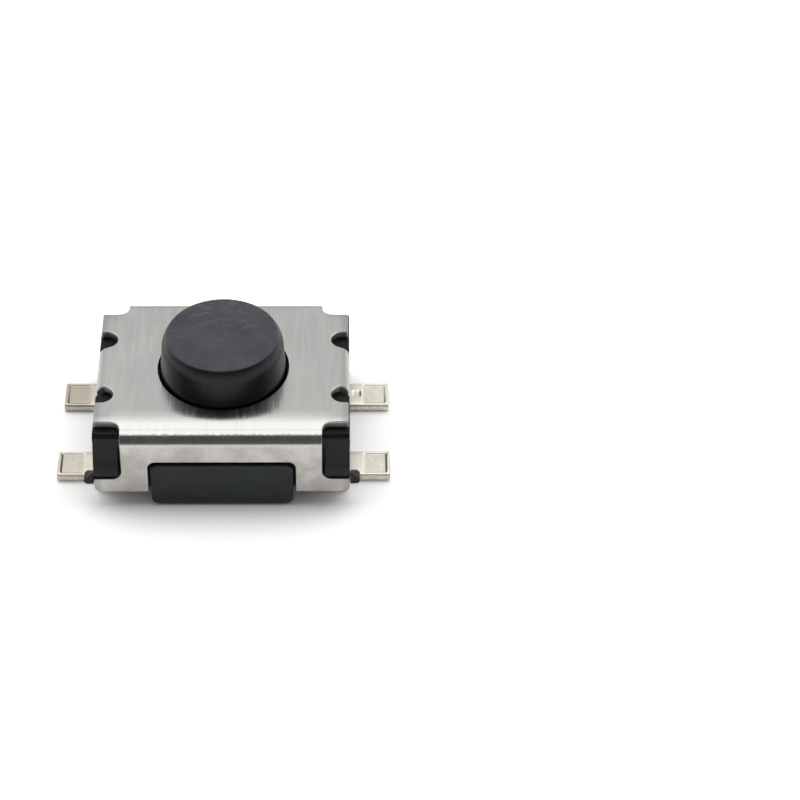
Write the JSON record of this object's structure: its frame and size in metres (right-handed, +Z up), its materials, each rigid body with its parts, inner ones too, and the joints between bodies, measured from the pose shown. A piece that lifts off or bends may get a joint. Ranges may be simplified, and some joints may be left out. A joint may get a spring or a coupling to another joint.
{
  "type": "tactile push button switch",
  "caption": "Low surface-mount tactile switch: folded metal cover over a black moulded base, round push button and flat solder leads at its short ends.",
  "frame": {"origin": "middle of the underside, on the plane of the board that the leads are soldered to", "axes": "+X along the long side, towards one pair of leads; +Y across the short side, towards the outer contact's leads; +Z up, out of the board, along the button"},
  "size_m": [0.0052, 0.0034, 0.0021],
  "materials": {
    "cover_steel": "brushed along the short side, bright",
    "base_plastic": "moulded, satin",
    "button_plastic": "moulded, faintly scuffed",
    "dome_steel": "bright spring steel",
    "film_plastic": "clear amber film",
    "contact_metal": "silver-plated, coined"
  },
  "bodies": {
    "switch": {"cover": "cover_steel", "base": "base_plastic", "snap_dome": "dome_steel", "sealing_film": "film_plastic", "outer_contact": "contact_metal", "centre_contact": "contact_metal"},
    "button": {"plunger": "button_plastic"}
  },
  "joints": [
    {"name": "button_press", "type": "slide", "parent": "switch", "child": "button", "axis": [0, 0, -1], "range_m": [0, 0.0002], "stiffness_N_per_m": 8000, "deforming": ["snap_dome", "sealing_film"]}
  ]
}
